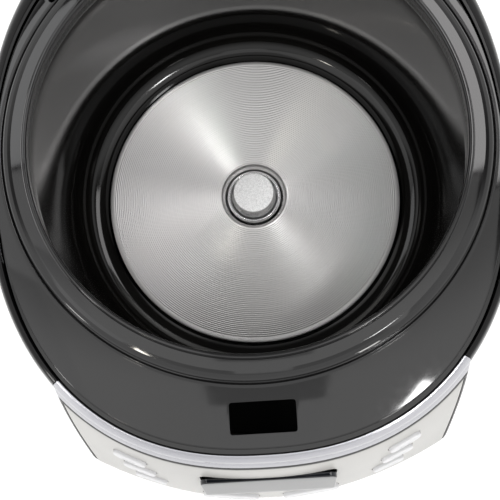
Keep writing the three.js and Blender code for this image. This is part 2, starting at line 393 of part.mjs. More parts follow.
// steam valve
const VZ = LB + 32;
addLid("valve_seat", turned([[14.8, LZ + 8], [22.2, VZ - 3], [22.2, VZ + 8], [20.4, VZ + 8], [20.4, VZ - 1.4], [13, LZ + 10], [13, LZ + 2.4 + 3.2], [14, LZ + 2.4 + 3.2]], 24).translate(0, VALVE_Y, 0), BLACK);
addLid("steam_valve", minus(turned([[0, VZ + 1], [19.2, VZ + 1], [19.2, VZ + 9.2], [21.6, VZ + 9.6], [21.6, VZ + 12.2], [20.2, VZ + 13.6], [0, VZ + 14.4]], 20), box(-8.5, -5.5, -8, 8, VZ + 3.6, VZ + 40), box(-1.5, 1.5, -9, 9, VZ + 3.6, VZ + 40), box(5.5, 8.5, -8, 8, VZ + 3.6, VZ + 40)).translate(0, VALVE_Y, 0), BLACK);
// release button and latch
addLid("release_button", onButton(plus(slab(roundRect(45, 19, 8.6), 9).translate(0, 0, -8.4), box(-7, 7, -8, -2, -20.6, -8))), GLOSS);
addLid("latch_hook", minus(
  plus(rodX(3.6, -11, 11, LP_Y, LP_Z, 12), box(-11, 11, -133.5, -130, DECK_Z - 8, LP_Z + 1), box(-11, 11, -133.5, LP_Y, LP_Z - 3, LP_Z + 3), box(-11, 11, -133.5, -126.3, DECK_Z - 8, DECK_Z - 5.2), box(-7, 7, LP_Y, -113.5, LP_Z + 0.4, LP_Z + 2.7)),
  rodX(1.85, -20, 20, LP_Y, LP_Z, 12),
), BLACK);
addLid("latch_pin", rodX(1.5, -15.8, 15.8, LP_Y, LP_Z, 12), STEEL);
// ---------------------------------------------------------------- hinge
add(fixed, "hinge_pin", rodX(2.5, -46, 46, HINGE_Y, HINGE_Z, 20), STEEL);
{
  const pts = [];
  for (let i = 0; i <= 60; i++) { const a = (2 * Math.PI * 6 * i) / 60; pts.push([-10 + (20 * i) / 60, HINGE_Y + 4.4 * Math.cos(a), HINGE_Z + 4.4 * Math.sin(a)]); }
  add(fixed, "hinge_spring", tube(pts, 0.8, 4, 50), STEEL);
}

export default root;
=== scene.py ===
import math
import bpy
import bmesh
from mathutils import Matrix, Vector


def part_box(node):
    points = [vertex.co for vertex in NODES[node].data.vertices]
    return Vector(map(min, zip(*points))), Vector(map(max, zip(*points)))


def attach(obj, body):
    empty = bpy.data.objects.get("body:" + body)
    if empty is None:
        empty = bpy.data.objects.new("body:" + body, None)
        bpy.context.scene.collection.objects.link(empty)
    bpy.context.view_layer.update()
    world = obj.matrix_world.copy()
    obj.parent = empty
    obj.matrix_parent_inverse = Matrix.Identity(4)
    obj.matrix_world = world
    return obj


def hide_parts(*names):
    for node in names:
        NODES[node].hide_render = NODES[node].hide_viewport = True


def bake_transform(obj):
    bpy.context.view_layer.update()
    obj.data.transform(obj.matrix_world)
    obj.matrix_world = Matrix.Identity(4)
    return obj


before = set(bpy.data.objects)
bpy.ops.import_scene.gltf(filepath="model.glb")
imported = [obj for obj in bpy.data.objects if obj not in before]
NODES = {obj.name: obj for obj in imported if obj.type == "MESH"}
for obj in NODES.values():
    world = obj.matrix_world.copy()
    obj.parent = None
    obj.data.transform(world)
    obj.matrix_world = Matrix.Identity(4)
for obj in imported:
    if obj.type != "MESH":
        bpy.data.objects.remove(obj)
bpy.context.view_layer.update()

# ------------------------------------------------------------------ dimensions (mm, drawing frame)
# drawing frame: chamber axis at x = 0, y = 0, table at z = 0; the row frame only differs by a shift in y
_lo, _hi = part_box("heating_plate")
SHIFT = (_lo.y + _hi.y) / 2
PLATE_Z, PLATE_R, WELL_R, CROWN = 62.0, 90.0, 20.3, 3.7
LIP, DECK_Z = PLATE_Z + 122.6, PLATE_Z + 118.0
CH_R, CH_TOP, FLOOR, CORNER = 108.2, PLATE_Z + 111.3, PLATE_Z - 3.0, 15.0
MOUTH, GROOVE = 104.5, 117.1
S_TOP = PLATE_Z + 11.0
SPRING_LO, SPRING_HI = PLATE_Z - 21.4, S_TOP - 4.6
DECK = (120.85, -11.0, 137.5, 135.2, 2.31)
BODY = (128.7, -3.75, 149.7, 151.0, 2.31)
HALF = 95.8
HINGE_Y, HINGE_Z, OPEN = 138.0, 187.0, math.radians(98)

# ------------------------------------------------------------------ mesh helpers
def super_r(th, p, extra=0.0):
    a, y0, bf, br, n = p
    c, s = math.cos(th), math.sin(th)
    lo, hi = 0.0, 400.0
    for _ in range(36):
        r = (lo + hi) / 2
        d = r * s - y0
        if (abs(r * c) / a) ** n + (abs(d) / (br if d > 0 else bf)) ** n < 1:
            lo = r
        else:
            hi = r
    return lo + extra


def front_of(x, p, extra=0.0):
    a, y0, bf, br, n = p
    return -y0 + (bf + extra) * max(0.0, 1 - (abs(x) / (a + extra)) ** n) ** (1 / n)


_plans = {}
def plan_r(name, th, extra=0.0):
    key = (name, round(th, 6))
    if key not in _plans:
        _plans[key] = super_r(th, {"deck": DECK, "body": BODY}[name])
    return _plans[key] + extra


def fillets(loop, n=5, closed=True):
    """Rounds the corners of a profile: each point is (r, z) or (r, z, fillet radius)."""
    out, m = [], len(loop)
    for i, q in enumerate(loop):
        rad = q[2] if len(q) > 2 else 0.0
        if rad <= 0 or (not closed and i in (0, m - 1)):
            out.append((q[0], q[1]))
            continue
        p, a, b = Vector(q[:2]), Vector(loop[i - 1][:2]), Vector(loop[(i + 1) % m][:2])
        u, v = (a - p), (b - p)
        lu, lv = u.length, v.length
        u.normalize(), v.normalize()
        ang = math.acos(max(-1, min(1, u.dot(v))))
        if ang > math.pi - 0.02:
            out.append((q[0], q[1]))
            continue
        t = min(rad / math.tan(ang / 2), lu * 0.48, lv * 0.48)
        s, e = p + u * t, p + v * t
        for k in range(n + 1):
            f = k / n
            c = s * (1 - f) ** 2 + p * 2 * f * (1 - f) + e * f ** 2
            out.append((c.x, c.y))
    return out


def spline(points, per=6):
    """Catmull-Rom through the points."""
    out = []
    for i in range(len(points) - 1):
        p0 = points[max(i - 1, 0)]
        p1, p2 = points[i], points[i + 1]
        p3 = points[min(i + 2, len(points) - 1)]
        for k in range(per):
            t = k / per
            out.append(tuple(0.5 * (2 * b + (c - a) * t + (2 * a - 5 * b + 4 * c - d) * t * t + (3 * b - a - 3 * c + d) * t ** 3) for a, b, c, d in zip(p0, p1, p2, p3)))
    out.append(tuple(points[-1]))
    return out


def ring_mesh(loop, seg, fn=None, closed=True):
    """Closed (or axis to axis) profile of (r, z) turned about Z; fn(r, th) gives the real radius."""
    verts, faces, rows = [], [], []
    for r, z in loop:
        if r < 1e-6:
            rows.append([len(verts)])
            verts.append((0.0, 0.0, z))
            continue
        row = []
        for i in range(seg):
            th = 2 * math.pi * i / seg
            R, Z = (fn(r, th) if fn else r), z
            if isinstance(R, tuple):
                R, Z = R
            row.append(len(verts))
            verts.append((R * math.cos(th), R * math.sin(th), Z))
        rows.append(row)
    n = len(rows)
    for k in range(n if closed else n - 1):
        A, B = rows[k], rows[(k + 1) % n]
        if len(A) == 1 and len(B) == 1:
            continue
        for i in range(seg):
            j = (i + 1) % seg
            if len(A) == 1:
                faces.append((A[0], B[j], B[i]))
            elif len(B) == 1:
                faces.append((A[i], A[j], B[0]))
            else:
                faces.append((A[i], A[j], B[j], B[i]))
    return verts, faces


def build(name, verts, faces, material, lid=False, angle=32.0):
    me = bpy.data.meshes.new(name)
    me.from_pydata([Vector(v) for v in verts], [], faces)
    bm = bmesh.new()
    bm.from_mesh(me)
    bmesh.ops.remove_doubles(bm, verts=bm.verts, dist=1e-5)
    bmesh.ops.recalc_face_normals(bm, faces=bm.faces)
    bm.to_mesh(me)
    bm.free()
    ob = bpy.data.objects.new(name, me)
    bpy.context.scene.collection.objects.link(ob)
    if material is not None:
        me.materials.append(material)
    return ob


def place(ob, lid=False):
    """Drawing frame in mm to the row frame in metres; lid pieces are drawn shut and opened here."""
    m = Matrix.Translation((0, SHIFT, 0)) @ Matrix.Scale(0.001, 4)
    if lid:
        m = m @ Matrix.Translation((0, HINGE_Y, HINGE_Z)) @ Matrix.Rotation(-OPEN, 4, "X") @ Matrix.Translation((0, -HINGE_Y, -HINGE_Z))
    ob.data.transform(m)
    return ob


def smooth(ob, angle=30.0):
    me = ob.data
    me.shade_smooth()
    me.set_sharp_from_angle(angle=math.radians(angle))
    return ob


def cut(ob, cutters, op="DIFFERENCE"):
    """Booleans in the drawing frame; the cutters are used up."""
    for c in cutters:
        mod = ob.modifiers.new("cut", "BOOLEAN")
        mod.operation, mod.solver, mod.object = op, "EXACT", c
        dg = bpy.context.evaluated_depsgraph_get()
        me = bpy.data.meshes.new_from_object(ob.evaluated_get(dg))
        ob.modifiers.clear()
        old = ob.data
        ob.data = me
        bpy.data.meshes.remove(old)
        bpy.data.objects.remove(c)
    return ob


def block(x0, x1, y0, y1, z0, z1, bevel=0.0, name="tool"):
    v = [(x, y, z) for z in (z0, z1) for y in (y0, y1) for x in (x0, x1)]
    f = [(0, 2, 3, 1), (4, 5, 7, 6), (0, 1, 5, 4), (2, 6, 7, 3), (0, 4, 6, 2), (1, 3, 7, 5)]
    ob = build(name, v, f, None)
    if bevel:
        bm = bmesh.new()
        bm.from_mesh(ob.data)
        bmesh.ops.bevel(bm, geom=bm.edges[:], offset=bevel, segments=3, affect="EDGES", profile=0.5)
        bm.to_mesh(ob.data)
        bm.free()
    return ob


def rod(r, a, b, seg=48, name="tool", bevel=0.0):
    """Cylinder between two points."""
    a, b = Vector(a), Vector(b)
    h = (b - a).length
    pts = [(0, 0), (r, 0, bevel), (r, h, bevel), (0, h)]
    v, f = ring_mesh(fillets(pts, 3, closed=False), seg, closed=False)
    ob = build(name, v, f, None)
    q = Vector((0, 0, 1)).rotation_difference((b - a).normalized())
    ob.data.transform(Matrix.Translation(a) @ q.to_matrix().to_4x4())
    return ob


def outline(w, h, r, n=8):
    """Rounded rectangle, counter-clockwise."""
    r = max(0.05, min(r, w / 2 - 0.01, h / 2 - 0.01))
    pts = []
    for cx, cy, a0 in ((w / 2 - r, h / 2 - r, 0), (-w / 2 + r, h / 2 - r, 90), (-w / 2 + r, -h / 2 + r, 180), (w / 2 - r, -h / 2 + r, 270)):
        for k in range(n + 1):
            a = math.radians(a0 + 90 * k / n)
            pts.append((cx + r * math.cos(a), cy + r * math.sin(a)))
    return pts


def tablet(w, h, r, z0, z1, edge=0.0, dome=0.0, n=8, name="tool"):
    """Rounded rectangle block with a rounded, slightly domed top."""
    layers = [(0.0, z0)]
    if edge:
        layers += [(edge * (1 - math.cos(math.radians(a))), z1 - edge + edge * math.sin(math.radians(a))) for a in (0, 18, 36, 54, 72, 90)]
    else:
        layers += [(0.0, z1)]
    rows = [[(x, y, z) for x, y in outline(w - 2 * d, h - 2 * d, max(r - d, 0.1), n)] for d, z in layers]
    top = rows[-1]
    for f in (0.8, 0.55, 0.3):
        rows.append([(x * f, y * f, z + dome * (1 - f * f)) for x, y, z in top])
    m = len(top)
    verts = [v for row in rows for v in row] + [(0, 0, top[0][2] + dome), (0, 0, z0)]
    faces = []
    for k in range(len(rows) - 1):
        for i in range(m):
            j = (i + 1) % m
            faces.append((k * m + i, k * m + j, (k + 1) * m + j, (k + 1) * m + i))
    e = len(rows) - 1
    for i in range(m):
        j = (i + 1) % m
        faces.append((e * m + i, e * m + j, len(verts) - 2))
        faces.append((j, i, len(verts) - 1))
    return build(name, verts, faces, None)


def stations(a, b, n, rr):
    """n + 1 values from a to b, closer together near both ends."""
    if rr <= 0:
        return [a + (b - a) * i / n for i in range(n + 1)]
    ends = [rr * (1 - math.cos(math.radians(t))) for t in (0, 20, 40, 60, 80, 90)]
    return [a + e for e in ends] + [a + rr + (b - a - 2 * rr) * i / n for i in range(1, n)] + [b - e for e in reversed(ends)]


def inset(d, rr):
    return rr - math.sqrt(max(0.0, rr * rr - (rr - d) ** 2)) if d < rr else 0.0


def curved(x0, x1, z0, z1, back, front, nx, nz, rr=0.0, name="tool", rz=None):
    """Block whose front and back follow front(x, z) and back(x), as distances towards -Y, with its front edges rounded."""
    rz = rr if rz is None else rz
    xs, zs = stations(x0, x1, nx, rr), stations(z0, z1, nz, rz)
    W, Hh = len(xs), len(zs)
    v = []
    for side in (0, 1):
        for z in zs:
            for x in xs:
                b = back(x, z)
                y = b if side else max(b + 0.05, front(x, z) - inset(min(x - x0, x1 - x), rr) - inset(min(z - z0, z1 - z), rz))
                v.append((x, -y, z))
    at = lambda side, i, k: (side * Hh + k) * W + i
    f = []
    for i in range(W - 1):
        for k in range(Hh - 1):
            f.append((at(0, i, k), at(0, i + 1, k), at(0, i + 1, k + 1), at(0, i, k + 1)))
            f.append((at(1, i, k), at(1, i, k + 1), at(1, i + 1, k + 1), at(1, i + 1, k)))
        f.append((at(0, i, 0), at(1, i, 0), at(1, i + 1, 0), at(0, i + 1, 0)))
        f.append((at(0, i, Hh - 1), at(0, i + 1, Hh - 1), at(1, i + 1, Hh - 1), at(1, i, Hh - 1)))
    for k in range(Hh - 1):
        f.append((at(0, 0, k), at(0, 0, k + 1), at(1, 0, k + 1), at(1, 0, k)))
        f.append((at(0, W - 1, k), at(1, W - 1, k), at(1, W - 1, k + 1), at(0, W - 1, k + 1)))
    return build(name, v, f, None)


def wire(points, r, sides=12, name="tool"):
    """Round wire along the points."""
    pts = [Vector(q) for q in points]
    verts, faces = [], []
    t0 = (pts[1] - pts[0]).normalized()
    nrm = t0.orthogonal().normalized()
    for i, q in enumerate(pts):
        t = (pts[min(i + 1, len(pts) - 1)] - pts[max(i - 1, 0)]).normalized()
        nrm = (nrm - t * nrm.dot(t)).normalized()
        b = t.cross(nrm)
        for k in range(sides):
            a = 2 * math.pi * k / sides
            verts.append(q + (nrm * math.cos(a) + b * math.sin(a)) * r)
    for i in range(len(pts) - 1):
        for k in range(sides):
            j = (k + 1) % sides
            faces.append((i * sides + k, i * sides + j, (i + 1) * sides + j, (i + 1) * sides + k))
    faces.append(tuple(range(sides))[::-1])
    faces.append(tuple((len(pts) - 1) * sides + k for k in range(sides)))
    return build(name, verts, faces, None)


def moved(ob, x=0.0, y=0.0, z=0.0, rx=0.0):
    ob.data.transform(Matrix.Translation((x, y, z)) @ Matrix.Rotation(math.radians(rx), 4, "X"))
    return ob


def dressed(ob, name, mat):
    ob.name = name
    ob.data.materials.clear()
    ob.data.materials.append(mat)
    return ob


def finish_piece(ob, body, nodes=(), lid=False, angle=30.0):
    place(ob, lid)
    smooth(ob, angle)
    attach(ob, body)
    if nodes:
        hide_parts(*nodes)
    return ob


# ------------------------------------------------------------------ materials
def new_mat(name):
    m = bpy.data.materials.new(name)
    m.use_nodes = True
    nt = m.node_tree
    return m, nt, nt.nodes["Principled BSDF"]


def link(nt, a, b):
    nt.links.new(a, b)


def noise(nt, scale, detail=4.0, rough=0.5, coord="Object", stretch=None):
    tc = nt.nodes.new("ShaderNodeTexCoord")
    mp = nt.nodes.new("ShaderNodeMapping")
    if stretch:
        mp.inputs["Scale"].default_value = stretch
    link(nt, tc.outputs[coord], mp.inputs["Vector"])
    n = nt.nodes.new("ShaderNodeTexNoise")
    n.inputs["Scale"].default_value = scale
    n.inputs["Detail"].default_value = detail
    n.inputs["Roughness"].default_value = rough
    link(nt, mp.outputs["Vector"], n.inputs["Vector"])
    return n


def ramp(nt, src, c0, c1, p0=0.3, p1=0.7):
    r = nt.nodes.new("ShaderNodeValToRGB")
    r.color_ramp.elements[0].position, r.color_ramp.elements[0].color = p0, (*c0, 1)
    r.color_ramp.elements[1].position, r.color_ramp.elements[1].color = p1, (*c1, 1)
    link(nt, src, r.inputs["Fac"])
    return r


def span(nt, src, lo, hi, a=0.3, b=0.7):
    m = nt.nodes.new("ShaderNodeMapRange")
    m.inputs["From Min"].default_value, m.inputs["From Max"].default_value = a, b
    m.inputs["To Min"].default_value, m.inputs["To Max"].default_value = lo, hi
    link(nt, src, m.inputs["Value"])
    return m


def bump(nt, src, strength, distance):
    b = nt.nodes.new("ShaderNodeBump")
    b.inputs["Strength"].default_value, b.inputs["Distance"].default_value = strength, distance
    link(nt, src, b.inputs["Height"])
    return b


def plastic(name, c0, c1, r0, r1, grain=900.0, depth=0.00002, strength=0.1, ior=1.5):
    m, nt, bs = new_mat(name)
    big, fine = noise(nt, 14.0, 3.0), noise(nt, grain, 3.0, 0.6)
    link(nt, ramp(nt, big.outputs["Fac"], c0, c1).outputs["Color"], bs.inputs["Base Color"])
    link(nt, span(nt, fine.outputs["Fac"], r0, r1).outputs["Result"], bs.inputs["Roughness"])
    link(nt, bump(nt, fine.outputs["Fac"], strength, depth).outputs["Normal"], bs.inputs["Normal"])
    bs.inputs["IOR"].default_value = ior
    return m


def metal(name, c0, c1, r0, r1, stretch=None, scale=60.0, depth=0.00003, strength=0.15, metallic=1.0, aniso=0.0):
    m, nt, bs = new_mat(name)
    n = noise(nt, scale, 6.0, 0.6, stretch=stretch)
    link(nt, ramp(nt, n.outputs["Fac"], c0, c1).outputs["Color"], bs.inputs["Base Color"])
    link(nt, span(nt, n.outputs["Fac"], r0, r1).outputs["Result"], bs.inputs["Roughness"])
    link(nt, bump(nt, n.outputs["Fac"], strength, depth).outputs["Normal"], bs.inputs["Normal"])
    bs.inputs["Metallic"].default_value = metallic
    bs.inputs["Anisotropic"].default_value = aniso
    return m


M = {}
M["gloss"] = plastic("black_gloss_plastic", (0.006, 0.0059, 0.0061), (0.009, 0.0088, 0.0091), 0.04, 0.08, grain=260.0, depth=0.00002, strength=0.04, ior=1.52)
M["deep_gloss"] = plastic("black_shell_plastic", (0.005, 0.0049, 0.005), (0.008, 0.0078, 0.008), 0.07, 0.11, grain=260.0, depth=0.00002, strength=0.04)
M["deep_gloss"].node_tree.nodes["Principled BSDF"].inputs["Specular IOR Level"].default_value = 0.16
M["satin"] = plastic("black_satin_plastic", (0.012, 0.012, 0.012), (0.018, 0.0178, 0.0175), 0.34, 0.46, grain=2600.0, depth=0.00003, strength=0.25)
M["collar"] = plastic("collar_satin_plastic", (0.020, 0.0198, 0.0195), (0.028, 0.0275, 0.027), 0.26, 0.36, grain=2200.0, depth=0.00002, strength=0.2)
M["grained"] = plastic("black_grained_plastic", (0.014, 0.014, 0.014), (0.02, 0.02, 0.0198), 0.42, 0.6, grain=1700.0, depth=0.00006, strength=0.5)
M["silver"] = plastic("silver_paint", (0.36, 0.36, 0.385), (0.42, 0.42, 0.445), 0.2, 0.28, grain=3800.0, depth=0.00001, strength=0.1)
M["silver"].node_tree.nodes["Principled BSDF"].inputs["Metallic"].default_value = 0.85
M["panel"] = plastic("pale_silver_panel", (0.33, 0.325, 0.315), (0.38, 0.375, 0.36), 0.3, 0.38, grain=3600.0, depth=0.00001, strength=0.12)
M["key"] = plastic("pale_key_plastic", (0.50, 0.50, 0.51), (0.56, 0.56, 0.57), 0.36, 0.46, grain=2400.0, depth=0.00002, strength=0.2)
M["lens"] = plastic("smoked_lens", (0.004, 0.005, 0.007), (0.007, 0.008, 0.011), 0.03, 0.06, grain=200.0, depth=0.00001, strength=0.03, ior=1.49)
M["enamel"] = plastic("black_enamel", (0.0035, 0.0032, 0.003), (0.006, 0.0056, 0.005), 0.06, 0.1, grain=900.0, depth=0.00002, strength=0.08, ior=1.9)
# painted shade in the chamber's floor corner: its Specular IOR Level is set low there by height
nt = M["enamel"].node_tree
tc = nt.nodes.new("ShaderNodeTexCoord")
sep = nt.nodes.new("ShaderNodeSeparateXYZ")
link(nt, tc.outputs["Object"], sep.inputs[0])
low = nt.nodes.new("ShaderNodeMapRange")  # painted shade: reflection turned far down where the floor turns up into the wall, darkening the corner
for k, v in (("From Min", 0.072), ("From Max", 0.090), ("To Min", 0.04), ("To Max", 0.5)):
    low.inputs[k].default_value = v
turn = nt.nodes.new("ShaderNodeMapRange")  # painted shade: the flat of the floor gets a little reflection back, the start of its corner stays darkest
for k, v in (("From Min", 0.0612), ("From Max", 0.0628), ("To Min", 0.1), ("To Max", 0.0)):
    turn.inputs[k].default_value = v
both = nt.nodes.new("ShaderNodeMath")
both.operation = "ADD"
link(nt, sep.outputs["Z"], low.inputs["Value"])
link(nt, sep.outputs["Z"], turn.inputs["Value"])
link(nt, low.outputs["Result"], both.inputs[0])
link(nt, turn.outputs["Result"], both.inputs[1])
link(nt, both.outputs[0], nt.nodes["Principled BSDF"].inputs["Specular IOR Level"])
M["steel"] = metal("brushed_steel", (0.50, 0.50, 0.51), (0.62, 0.62, 0.63), 0.22, 0.34, stretch=(1, 1, 14), scale=120.0)
M["polished"] = metal("polished_steel", (0.72, 0.72, 0.73), (0.80, 0.80, 0.81), 0.14, 0.2, scale=160.0)
M["spun"] = metal("spun_aluminium", (0.64, 0.64, 0.63), (0.72, 0.72, 0.71), 0.34, 0.42, scale=140.0)
M["blasted"] = metal("blasted_steel", (0.48, 0.48, 0.48), (0.90, 0.90, 0.90), 0.42, 0.6, scale=1500.0, depth=0.00012, strength=0.8)
M["rubber"] = plastic("foot_rubber", (0.018, 0.018, 0.018), (0.028, 0.028, 0.027), 0.75, 0.9, grain=1800.0, depth=0.00008, strength=0.5)
M["silicone"] = plastic("gasket_silicone", (0.42, 0.41, 0.39), (0.48, 0.47, 0.45), 0.45, 0.58, grain=1500.0, depth=0.00004, strength=0.2)
M["pcb"] = plastic("circuit_board", (0.012, 0.10, 0.035), (0.02, 0.15, 0.055), 0.3, 0.5, grain=1200.0, depth=0.00005, strength=0.3)
M["mica"] = plastic("mica_band", (0.42, 0.34, 0.20), (0.55, 0.46, 0.30), 0.5, 0.75, grain=700.0, depth=0.0001, strength=0.5)
M["copper"] = metal("wound_copper", (0.62, 0.30, 0.12), (0.75, 0.40, 0.18), 0.25, 0.4, stretch=(1, 1, 30), scale=90.0)


def turned_plate():
    """Turned aluminium: brightness and roughness vary from groove to groove."""
    m, nt, bs = new_mat("turned_aluminium")
    tc = nt.nodes.new("ShaderNodeTexCoord")
    sub = nt.nodes.new("ShaderNodeVectorMath")
    sub.operation = "SUBTRACT"
    sub.inputs[1].default_value = (0, SHIFT, 0)
    link(nt, tc.outputs["Object"], sub.inputs[0])
    sep = nt.nodes.new("ShaderNodeSeparateXYZ")
    link(nt, sub.outputs[0], sep.inputs[0])
    comb = nt.nodes.new("ShaderNodeCombineXYZ")
    link(nt, sep.outputs["X"], comb.inputs["X"])
    link(nt, sep.outputs["Y"], comb.inputs["Y"])
    ln = nt.nodes.new("ShaderNodeVectorMath")
    ln.operation = "LENGTH"
    link(nt, comb.outputs[0], ln.inputs[0])
    rad = nt.nodes.new("ShaderNodeCombineXYZ")
    link(nt, ln.outputs["Value"], rad.inputs["X"])
    n = nt.nodes.new("ShaderNodeTexNoise")
    n.inputs["Scale"].default_value, n.inputs["Detail"].default_value = 1900.0, 4.0
    link(nt, rad.outputs[0], n.inputs["Vector"])
    link(nt, ramp(nt, n.outputs["Fac"], (0.585, 0.575, 0.57), (0.685, 0.675, 0.67)).outputs["Color"], bs.inputs["Base Color"])
    link(nt, span(nt, n.outputs["Fac"], 0.33, 0.39).outputs["Result"], bs.inputs["Roughness"])
    tg = nt.nodes.new("ShaderNodeTangent")
    tg.direction_type, tg.axis = "RADIAL", "Z"
    link(nt, tg.outputs["Tangent"], bs.inputs["Tangent"])
    bs.inputs["Anisotropic"].default_value = 0.7
    bs.inputs["Anisotropic Rotation"].default_value = 0.25
    bs.inputs["Metallic"].default_value = 1.0
    return m


M["plate"] = turned_plate()

# ------------------------------------------------------------------ the deck
def rim_edge(th):
    """How far the channel is open: 0 at the rear and the sides, 1 at the front."""
    t = min(1.0, max(0.0, (-math.sin(th) - 0.05) / 0.6))
    return t * t * (3 - 2 * t)


def deck_fn(r, th):
    if r < 400:
        return r
    D, S = plan_r("deck", th), rim_edge(th)
    e, q = -0.45 - 2.6 * S, min(1.0, max(0.0, (D - 125.1) / 3))

    if r < 600:
        return D + r - 500
    if r < 700:  # rounded edge of the rim: 600 + place across the edge, 0 to 1
        return D + e + (r - 600) * (0.3 + 0.45 * S)
    lo, hi = min(119.9, D - 5.2), D - 5.2
    f = r - 700
    if f <= 1:
        return lo + (hi - lo) * f, DECK_Z - 4.4 + (1.8 + 0.2 * (1 - f)) * q
    return min(118.9, D - 5.6), DECK_Z - 4.4


rim = [(600 + f, DECK_Z - 0.75 * (1 - math.sqrt(max(0.0, 1 - f * f)))) for f in (0.0, 0.25, 0.5, 0.7, 0.85, 0.95, 1.0)]
deck_loop = fillets([
    (MOUTH, LIP - 3.8), (MOUTH, LIP - 0.9, 0.7), (MOUTH + 0.6, LIP - 0.05, 0.6), (MOUTH + 1.9, LIP - 0.05, 0.5), (MOUTH + 2.3, LIP - 1.15, 0.15), (MOUTH + 2.75, LIP - 0.95, 0.3),
    (GROOVE - 4.9, LIP - 1.3, 3.0), (GROOVE - 3.2, LIP - 1.65, 1.4), (GROOVE - 1.6, LIP - 2.15, 1.2), (GROOVE - 0.62, LIP - 3.0, 0.9), (GROOVE - 0.5, DECK_Z - 2.2, 0.2), (GROOVE + 0.45, DECK_Z - 2.2, 0.2),
    (GROOVE + 0.55, DECK_Z + 0.1, 0.5), (GROOVE + 1.1, DECK_Z + 0.42, 0.5), (GROOVE + 2.3, DECK_Z, 1.0), (GROOVE + 2.5, DECK_Z),
], 5, closed=False)
deck_loop += rim + [(601.0, DECK_Z - 4.0), (499.9, DECK_Z - 4.0), (499.9, DECK_Z - 7.2), (495.2, DECK_Z - 7.2), (701, DECK_Z), (700, DECK_Z), (702, DECK_Z), (115.0, DECK_Z - 4.4), (114.4, LIP - 4.1), (107.0, LIP - 3.5), (106.6, LIP - 3.8)]
deck = build("deck_moulding", *ring_mesh(deck_loop, 320, deck_fn), M["gloss"])
cut(deck, [block(-49, 49, 118.5, HINGE_Y + 9, DECK_Z - 13, DECK_Z - 1.6, 1.0)], "UNION")
for s in (-1, 1):
    cut(deck, [rod(8.5, (s * 29, HINGE_Y, HINGE_Z), (s * 43, HINGE_Y, HINGE_Z), 48, bevel=1.0), block(min(s * 29, s * 43), max(s * 29, s * 43), HINGE_Y - 8.5, HINGE_Y + 8.5, DECK_Z - 9, HINGE_Z)], "UNION")
cut(deck, [
    rod(2.85, (-60, HINGE_Y, HINGE_Z), (60, HINGE_Y, HINGE_Z), 32),
    block(-15, 15, -139.6, -125.4, DECK_Z - 20, DECK_Z + 5, 1.2),
    rod(1.9, (-92.2, 77.2, DECK_Z - 20), (-92.2, 77.2, DECK_Z + 5), 32),
])
finish_piece(deck, "housing", ["top_deck"])

# ------------------------------------------------------------------ outer shell
OUT = [(0.12, 179.2), (0.3, 179.0), (0.55, 177.8), (0.78, 175.0), (0.93, 170.8), (1.0, 164), (1.0, 140), (1.0, 110), (0.95, 82), (0.86, 62), (0.7, 40), (0.5, 26), (0.16, 10)]
INN = [(0.16, 10), (0.5, 26.5), (0.86, 62), (1.0, 110), (1.0, 163), (0.84, 171), (0.53, 175)]
shell_loop = [(1000 + 100 * t, z) for t, z in spline(OUT, 5)] + [(3000 + 100 * t, z) for t, z in spline(INN, 2)]


def shell_fn(r, th):
    t, inset = ((r - 3000) / 100, 2.6) if r > 2000 else ((r - 1000) / 100, 0.0)
    return plan_r("deck", th) * (1 - t) + plan_r("body", th) * t - inset


def strip_end(s, off, z0):
    """The corner of the shell beyond the silver strip's square end."""
    ob = block(-15, 15, off, 20, z0, 230)
    ob.data.transform(Matrix.Translation((s * 91, -110.4, 0)) @ Matrix.Rotation(-s * 0.4564, 4, "Z"))
    return ob


shell = build("outer_body", *ring_mesh(shell_loop, 288, shell_fn), M["deep_gloss"])
cut(shell, [
    cut(block(-HALF - 0.35, HALF + 0.35, -220, -60, 83.6, 220), [strip_end(1, 0.18, 168.35), strip_end(-1, 0.18, 168.35)]),
    block(-31, 31, 100, 200, 107.9, 152.1),
    block(-17, 17, 100, 200, 27, 51),
    block(-50, 50, 112, 200, 166, 220),
])
finish_piece(shell, "housing", ["outer_shell"])

# ------------------------------------------------------------------ mouth collar with its fine ribs
def collar():
    seg = 1440
    prof = [(MOUTH + 1.2, CH_TOP + 0.4, 0), (MOUTH + 1.2, CH_TOP + 1.1, 0), (MOUTH + 1.25, CH_TOP + 1.3, 1), (MOUTH + 1.6, LIP - 5.3, 1), (MOUTH + 1.65, LIP - 5.1, 0), (MOUTH + 1.7, LIP - 4.6, 0),
            (109.4, LIP - 4.6, 0), (109.4, LIP - 6.2, 0), (107.9, LIP - 6.2, 0), (107.5, CH_TOP + 1.8, 0), (112.4, CH_TOP + 1.8, 0), (112.4, CH_TOP + 0.4, 0)]
    verts, faces = [], []
    for r, z, rib in prof:
        for i in range(seg):
            th = 2 * math.pi * i / seg
            R = r + (0.22 if rib and i % 4 in (0, 1) else 0.0)
            verts.append((R * math.cos(th), R * math.sin(th), z))
    n = len(prof)
    for k in range(n):
        for i in range(seg):
            j, k2 = (i + 1) % seg, (k + 1) % n
            faces.append((k * seg + i, k * seg + j, k2 * seg + j, k2 * seg + i))
    return verts, faces


finish_piece(build("ribbed_collar", *collar(), M["collar"]), "housing", ["mouth_collar"], angle=25)

# ------------------------------------------------------------------ chamber
C = CH_R


def corner(grow, n=14):
    return [(C - CORNER + (CORNER + grow) * math.sin(math.pi / 2 * k / n), FLOOR + CORNER - (CORNER + grow) * math.cos(math.pi / 2 * k / n)) for k in range(n + 1)]


chamber_loop = [(92, FLOOR), *corner(0), *[(C, FLOOR + CORNER + 12 * k) for k in range(1, 8)], (C, CH_TOP - 1.0), (C + 0.3, CH_TOP - 0.3), (C + 1.0, CH_TOP), (C + 5.3, CH_TOP), (C + 5.3, CH_TOP - 1.3),
                (C + 1.3, CH_TOP - 1.4), *corner(1.3)[::-1], (92, FLOOR - 1.3)]
finish_piece(build("enamel_chamber", *ring_mesh(chamber_loop, 288), M["enamel"]), "housing", ["inner_chamber"], angle=40)

